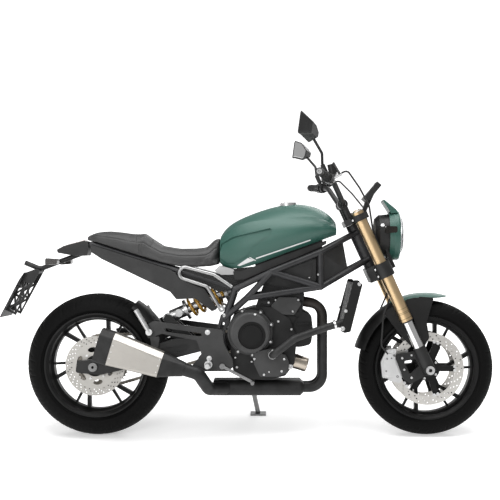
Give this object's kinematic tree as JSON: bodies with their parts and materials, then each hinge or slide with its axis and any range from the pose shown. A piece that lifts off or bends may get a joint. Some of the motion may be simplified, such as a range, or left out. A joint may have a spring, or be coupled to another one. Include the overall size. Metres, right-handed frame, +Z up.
{
  "type": "scrambler motorcycle",
  "caption": "Naked scrambler motorcycle leaning on its side stand, with turning wheels, steering and a folding stand.",
  "frame": {"origin": "bottom centre of the machine's box, on the road", "axes": "+X forward along the road, +Y to the rider's left, the side it leans to, +Z up"},
  "size_m": [2.18, 0.9408, 1.4343],
  "materials": {
    "green_paint": "gloss",
    "frame_paint": "satin",
    "black_alloy": "satin",
    "satin_plastic": "matte",
    "lamp_pods": "gloss",
    "gold_anodised": "satin",
    "chrome": "polished",
    "disc_steel": "brushed",
    "dark_steel": "satin",
    "alloy_silver": "satin",
    "spring_gold": "gloss",
    "engine_black": "matte",
    "engine_grey": "satin",
    "exhaust_black": "matte",
    "silencer_steel": "brushed",
    "tyre": "matte",
    "rubber": "matte",
    "seat_cover": "matte",
    "lens_clear": "clear",
    "lens_red": "gloss"
  },
  "bodies": {
    "chassis": {"rear_axle": "dark_steel", "main_frame": "frame_paint", "subframe_loops": "alloy_silver", "swingarm": "black_alloy", "shock_body": "alloy_silver", "shock_spring": "spring_gold", "chain": "dark_steel", "rear_guards": "satin_plastic", "rear_caliper": "alloy_silver", "footpeg_hangers": "black_alloy", "footpegs": "alloy_silver", "foot_controls": "dark_steel", "engine": "engine_black", "engine_covers": "engine_grey", "oil_filter": "dark_steel", "radiator": "engine_black", "coolant_hose": "rubber", "exhaust_pipes": "exhaust_black", "silencer": "silencer_steel", "silencer_caps": "exhaust_black", "fuel_tank": "green_paint", "fuel_cap": "alloy_silver", "side_covers": "satin_plastic", "nose_panels": "alloy_silver", "airbox": "satin_plastic", "seat": "seat_cover", "tail_panels": "satin_plastic", "tail_light": "satin_plastic", "tail_lens": "lens_red", "plate_carrier": "satin_plastic", "rear_indicators": "lamp_pods", "stand_bracket": "dark_steel"},
    "steering": {"fork_tubes": "gold_anodised", "fork_stanchions": "chrome", "fork_feet": "black_alloy", "triple_clamps": "black_alloy", "handlebar": "black_alloy", "grips": "rubber", "hand_controls": "satin_plastic", "mirrors": "satin_plastic", "dash": "satin_plastic", "headlight_shell": "satin_plastic", "headlight_cowl": "green_paint", "headlight_lens": "lens_clear", "front_fender": "satin_plastic", "fender_blade": "green_paint", "front_calipers": "alloy_silver", "front_axle": "dark_steel", "front_indicators": "lamp_pods", "brake_hoses": "rubber"},
    "front_wheel": {"front_rim": "black_alloy", "front_tyre": "tyre", "front_discs": "disc_steel"},
    "rear_wheel": {"rear_rim": "black_alloy", "rear_tyre": "tyre", "rear_disc": "disc_steel", "rear_sprocket": "dark_steel"},
    "side_stand": {"side_stand": "dark_steel"}
  },
  "joints": [
    {"name": "steering", "type": "hinge", "parent": "chassis", "child": "steering", "pos_m": [0.50536, -0.08804, 0.8331], "axis": [-0.4147, 0.158, 0.8961], "range_deg": [-33, 33]},
    {"name": "front_wheel_spin", "type": "hinge", "parent": "steering", "child": "front_wheel", "pos_m": [0.79001, -0.18268, 0.29635], "axis": [0, 0.9848, -0.1736], "continuous": true},
    {"name": "rear_wheel_spin", "type": "hinge", "parent": "chassis", "child": "rear_wheel", "pos_m": [-0.66999, -0.17999, 0.31161], "axis": [0, 0.9848, -0.1736], "continuous": true},
    {"name": "side_stand_fold", "type": "hinge", "parent": "chassis", "child": "side_stand", "pos_m": [-0.00599, -0.03825, 0.25167], "axis": [0, 0.9925, 0.1219], "range_deg": [0, 94]}
  ]
}
